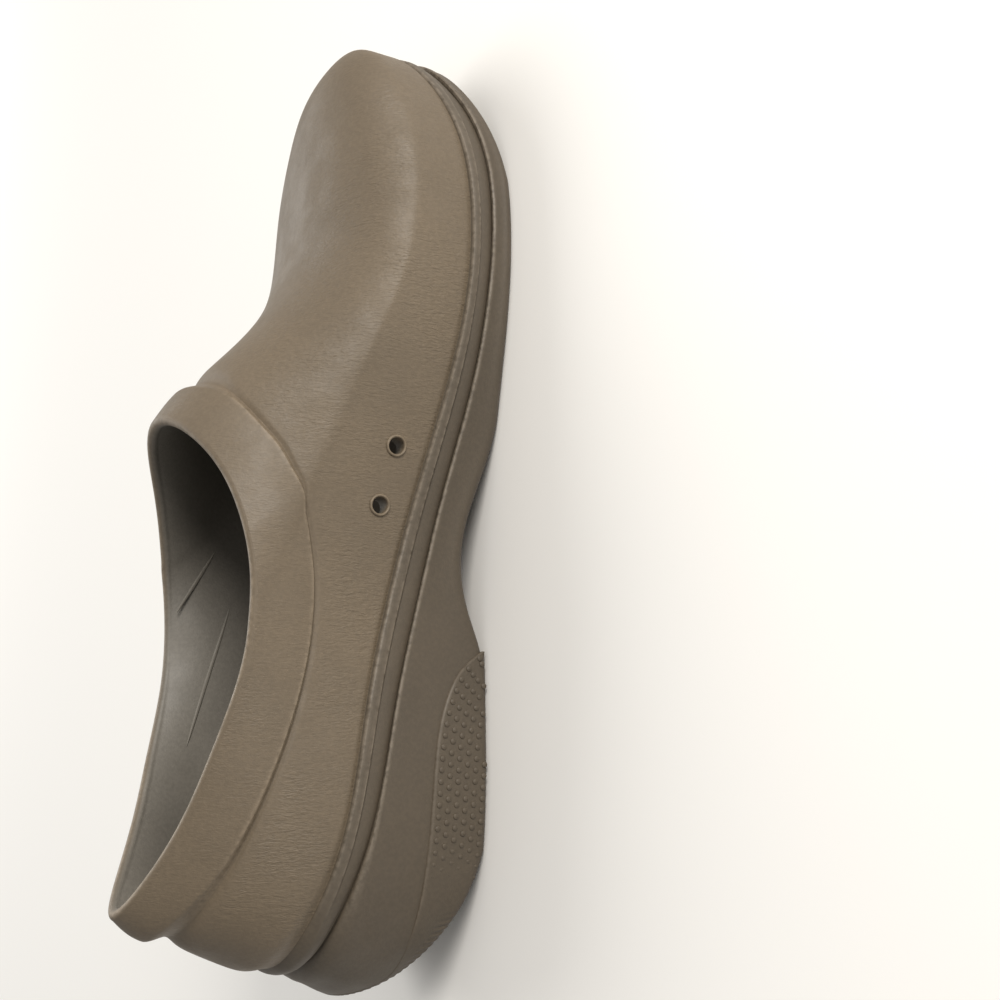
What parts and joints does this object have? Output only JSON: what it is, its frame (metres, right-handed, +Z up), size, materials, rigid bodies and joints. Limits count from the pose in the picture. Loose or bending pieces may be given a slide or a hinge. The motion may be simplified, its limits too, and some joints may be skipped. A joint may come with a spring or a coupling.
{
  "type": "rubber garden clog",
  "caption": "Closed-heel moulded garden clog for the left foot, with a padded-look collar band, vented inner side, raised arch and a dimpled heel tread.",
  "frame": {"origin": "on the ground, under the middle of the clog's bounding box", "axes": "+Z up, toe towards -Y, heel towards +Y, the foot's inner side towards -X"},
  "size_m": [0.1002, 0.2759, 0.0899],
  "materials": {
    "upper_rubber": "matte, leather-like grain",
    "collar_rubber": "matte, fine smooth grain",
    "midsole_rubber": "matte, smooth",
    "outsole_rubber": "matte, smooth",
    "tread_rubber": "matte, dimpled",
    "footbed_rubber": "matte, finely dimpled"
  },
  "bodies": {
    "root": {"upper_shell": "upper_rubber", "collar_band": "collar_rubber", "midsole": "midsole_rubber", "outsole": "outsole_rubber", "heel_tread": "tread_rubber", "forefoot_tread": "tread_rubber", "footbed": "footbed_rubber"}
  },
  "joints": []
}
